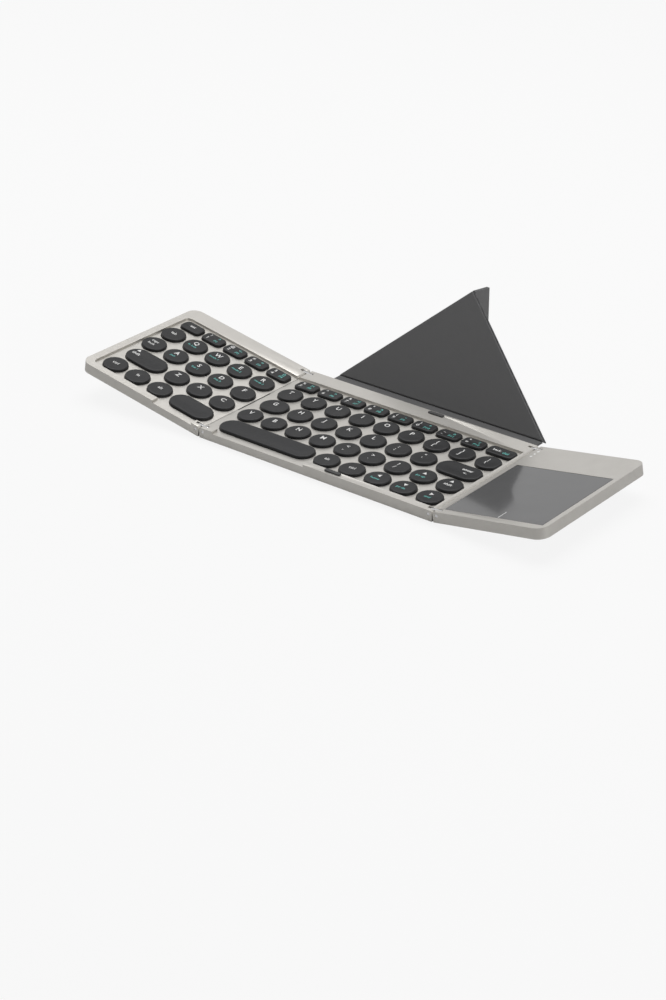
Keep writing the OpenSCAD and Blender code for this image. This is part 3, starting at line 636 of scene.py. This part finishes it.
def printed_legends(name, places):
    """The marks of one row as a mesh that follows the caps' tops, or nothing for blank keys."""
    work = bmesh.new()
    for middle, (length, depth, corner), marks in places:
        for spot, what in chosen_spots(marks, length):
            size, dx, dy, tint = mark_spots[spot]
            first_vert, first_face = len(work.verts), len(work.faces)
            work.from_mesh(arrow_mark(what) if what in arrows else lettering(what, size))
            work.verts.ensure_lookup_table()
            work.faces.ensure_lookup_table()
            for vert in work.verts[first_vert:]:
                x, y = vert.co.x + dx, vert.co.y + dy
                inset = max(inset_at(x, y, length, depth, corner), shoulder)
                vert.co = middle + Vector((x, y, top_height(inset, depth / 2) + print_lift))
            for face in work.faces[first_face:]:
                face.material_index = tint
    if not work.verts:
        work.free()
        return None
    work.normal_update()
    for face in work.faces:
        if face.normal.z < 0:
            face.normal_flip()
    mesh = bpy.data.meshes.new(name)
    work.to_mesh(mesh)
    work.free()
    mesh.materials.append(white_ink)
    mesh.materials.append(teal_ink)
    return mesh


def pill(length):
    """The size of a long key with round ends."""
    return (length, key_d, key_r)


def beside(last, length, way=1):
    """Where a long key's middle lies next to a round key."""
    return last + way * (key_r + wide_gap + length / 2)


def on_centre(x, row):
    """A place on the middle section, by its distance from the left seam and its row."""
    return Vector((x - case_w / 2, row_y[5 - row] - case_d / 2, 0))


def on_left(u, row):
    """A place on the flat left wing, by its distance outward from the seam and its row."""
    return Vector((-case_w / 2 - wing_gap - u, row_y[5 - row] - case_d / 2, 0))


def plain(marks):
    """Legends with a main mark each and no second use."""
    return [(mark, "") for mark in marks]


# Each row of like keys: its first key's place, the step to the next, their size and their legends
left_rows = {
    "escape_key": (on_left(left_u[0] + 4 * number_pitch, 1), 0, key_number, plain(["esc"])),
    "left_number_keys": (on_left(left_u[0], 1), -number_pitch, key_number,
        [("4", "$", "F4", "[]"), ("3", "#", "F3", "="), ("2", "@", "F2", "<-"), ("1", "!", "F1", "^")]),
    "tab_key": (on_left(left_u[1] + 4 * pitch, 2), 0, key_round, plain(["tab"])),
    "left_upper_keys": (on_left(left_u[1], 2), -pitch, key_round,
        [("R", "mode 3"), ("E", "mode 2"), ("W", "mode 1"), ("Q", "fn lock")]),
    "caps_key": (on_left(left_u[2] + 4 * pitch, 3), 0, key_round, plain(["caps lock"])),
    "left_home_keys": (on_left(left_u[2], 3), -pitch, key_round,
        [("F", ""), ("D", "link 2"), ("S", "link 1"), ("A", "pair")]),
    "left_shift_key": (on_left(beside(left_u[3] + 2 * pitch, left_shift_len), 4), 0,
        pill(left_shift_len), plain(["shift"])),
    "left_lower_keys": (on_left(left_u[3], 4), -pitch, key_round, plain("CXZ")),
    "left_modifier_keys": (on_left(left_u[4], 5), -pitch, key_round, plain(["alt", "fn", "ctrl"])),
    "left_space_key": (on_left(beside(left_u[4], left_space_len, -1), 5), 0,
        pill(left_space_len), plain([""])),
}
backspace_x = centre_x[0] + 8 * number_pitch + (backspace_w - number_w) / 2
centre_rows = {
    "centre_number_keys": (on_centre(centre_x[0], 1), number_pitch, key_number,
        [("5", "%", "F5", "|<"), ("6", "^", "F6", ">"), ("7", "&", "F7", ">|"), ("8", "*", "F8", "x"),
        ("9", "(", "F9", "-"), ("0", ")", "F10", "+"), ("-", "_", "F11", "o"), ("=", "+", "F12", "::")]),
    "backspace_key": (on_centre(backspace_x, 1), 0, (backspace_w, number_d, number_r), [("back", "del")]),
    "centre_upper_keys": (on_centre(centre_x[1], 2), pitch, key_round,
        plain("TYUIOP") + plain(["{ [", "} ]", "| \\"])),
    "centre_home_keys": (on_centre(centre_x[2], 3), pitch, key_round,
        plain("HJKL") + plain([": ;", "\" '"])),
    "enter_key": (on_centre(beside(centre_x[2] + 5 * pitch, enter_len), 3), 0, pill(enter_len),
        plain(["enter"])),
    "centre_lower_keys": (on_centre(centre_x[3], 4), pitch, key_round,
        plain("VBNM") + plain(["< ,", "> .", "? /"])),
    "up_arrow_key": (on_centre(centre_x[3] + 7 * pitch, 4), 0, key_round, [("up", "pg up")]),
    "right_shift_key": (on_centre(centre_x[3] + 8 * pitch, 4), 0, key_round, plain(["shift"])),
    "space_key": (on_centre(beside(centre_x[4], space_len, -1), 5), 0, pill(space_len), plain([""])),
    "right_modifier_keys": (on_centre(centre_x[4], 5), pitch, key_round, plain(["alt", "ctrl"])),
    "arrow_keys": (on_centre(centre_x[4] + 2 * pitch, 5), pitch, key_round,
        [("left", "home"), ("down", "pg dn"), ("right", "end")]),
}
wide_g_place = on_centre(beside(centre_x[2], g_len, -1), 3)


def dress_row(node, first, step, size, legends, moved):
    """The caps and the legends of one row, on the row's own body."""
    places = [(first + Vector((step * index, 0, 0)), size, marks) for index, marks in enumerate(legends)]
    caps_mesh = repeated(node + "_caps", size, len(legends), first, step)
    if node == "centre_home_keys":
        wide_cap = repeated("wide_cap", pill(g_len), 1, wide_g_place, 0)
        caps_mesh = joined(node + "_caps", (caps_mesh, wide_cap))
        places.append((wide_g_place, pill(g_len), ("G", "")))
    caps_mesh.materials.clear()
    caps_mesh.materials.append(key_plastic)
    for face in caps_mesh.polygons:
        face.material_index = 0
    smooth_faces(caps_mesh, radians(50))
    caps_mesh.transform(moved)
    caps = bpy.data.objects.new(node + "_caps", caps_mesh)
    bpy.context.collection.objects.link(caps)
    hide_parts(node)
    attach(caps, node + "_body")
    legend_mesh = printed_legends(node + "_legends", places)
    if legend_mesh:
        legend_mesh.transform(moved)
        legend = bpy.data.objects.new(node + "_legends", legend_mesh)
        bpy.context.collection.objects.link(legend)
        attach(legend, node + "_body")


for rows, moved in ((left_rows, wing_place("left")), (centre_rows, Matrix.Identity(4))):
    for node, (first, step, size, legends) in rows.items():
        dress_row(node, first, step, size, legends, moved)

# Cover and stand. Stiff boards under one cloth: fine ribbed fabric outside and a smooth dark
# lining inside. The folds stay thin between the boards, and every board has soft wrapped edges.
half_w, stand_h, stand_run = 0.069, 0.059, 0.029
wrapped_edge, wrapped_steps = 0.0003, 3


def woven(name, low, high, ribs, depth_of):
    """Cloth on the panel's own flat coordinates, as ribs crossed by yarn."""
    yarn_pace = 2.1
    made, shader, place = new_finish(name, "weave")
    across = place.node("ShaderNodeSeparateXYZ", {}, {"Vector": place}, "X")
    along = place.node("ShaderNodeSeparateXYZ", {}, {"Vector": place}, "Y")
    rib = (along * ribs + across * ribs).sine() * 0.5 + 0.5
    yarn = (along * (ribs * -yarn_pace) + across * (ribs * yarn_pace)).sine() * 0.5 + 0.5
    fuzz = place.node("ShaderNodeTexNoise", {}, {"Vector": place, "Scale": 1400.0, "Detail": 3.0})
    height = rib * 0.6 + yarn * 0.25 + fuzz * 0.3
    blend_colours(height * 0.85, low, high).to(shader.inputs["Base Color"])
    (fuzz * 0.1 + 0.72).to(shader.inputs["Roughness"])
    shader.inputs["Sheen Weight"].default_value = 0.15
    shader.inputs["Sheen Roughness"].default_value = 0.5
    relief = place.node("ShaderNodeBump", {}, {"Height": height, "Strength": 0.5, "Distance": depth_of})
    relief.to(shader.inputs["Normal"])
    return made


cover_cloth = woven("cover_cloth", (0.018, 0.018, 0.019), (0.125, 0.125, 0.128), 6000.0, 0.00012)
cover_lining = woven("cover_lining", (0.135, 0.135, 0.137), (0.165, 0.165, 0.167), 16000.0, 0.00003)


def for_side(vector, side):
    """A direction on the left half of the stand, or its mirror on the right half."""
    return Vector((-vector.x if side > 0 else vector.x, vector.y, vector.z))


# Each board with its body, its outward direction and the direction that its ribs run by
down, to_right, to_rear = Vector((0, 0, -1)), Vector((1, 0, 0)), Vector((0, 1, 0))
front_out = Vector((0, stand_h, -stand_run)).normalized()
boards = [("cover_backing", "centre", down, to_right), ("cover_spine", "spine", down, to_right),
    ("stand_panel", "stand_front", front_out, to_right)]
for side, name in ((-1, "left"), (1, "right")):
    leg_out = for_side(Vector((stand_run, -half_w, 0)).normalized(), side)
    leg_along = for_side(Vector((half_w, stand_run, 0)).normalized(), side)
    boards.append((name + "_leg_panel", name + "_leg", leg_out, leg_along))
    boards.append((name + "_closure_flap", name + "_flap", Vector((-side, 0, 0)), to_rear))
for node, body, outward, along in boards:
    board = bevelled(node + "_cloth", merged_copy(node), wrapped_edge, wrapped_steps)
    mesh = board.data
    mesh.materials.append(cover_cloth)
    mesh.materials.append(cover_lining)
    across = outward.cross(along)
    weave = mesh.uv_layers.new(name="weave")
    for face in mesh.polygons:
        inner = face.normal.dot(outward) < -0.5 and node != "cover_spine"
        face.material_index = 1 if inner else 0
        for loop in face.loop_indices:
            point = mesh.vertices[mesh.loops[loop].vertex_index].co
            weave.data[loop].uv = (point.dot(along), point.dot(across))
    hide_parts(node)
    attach(board, body)
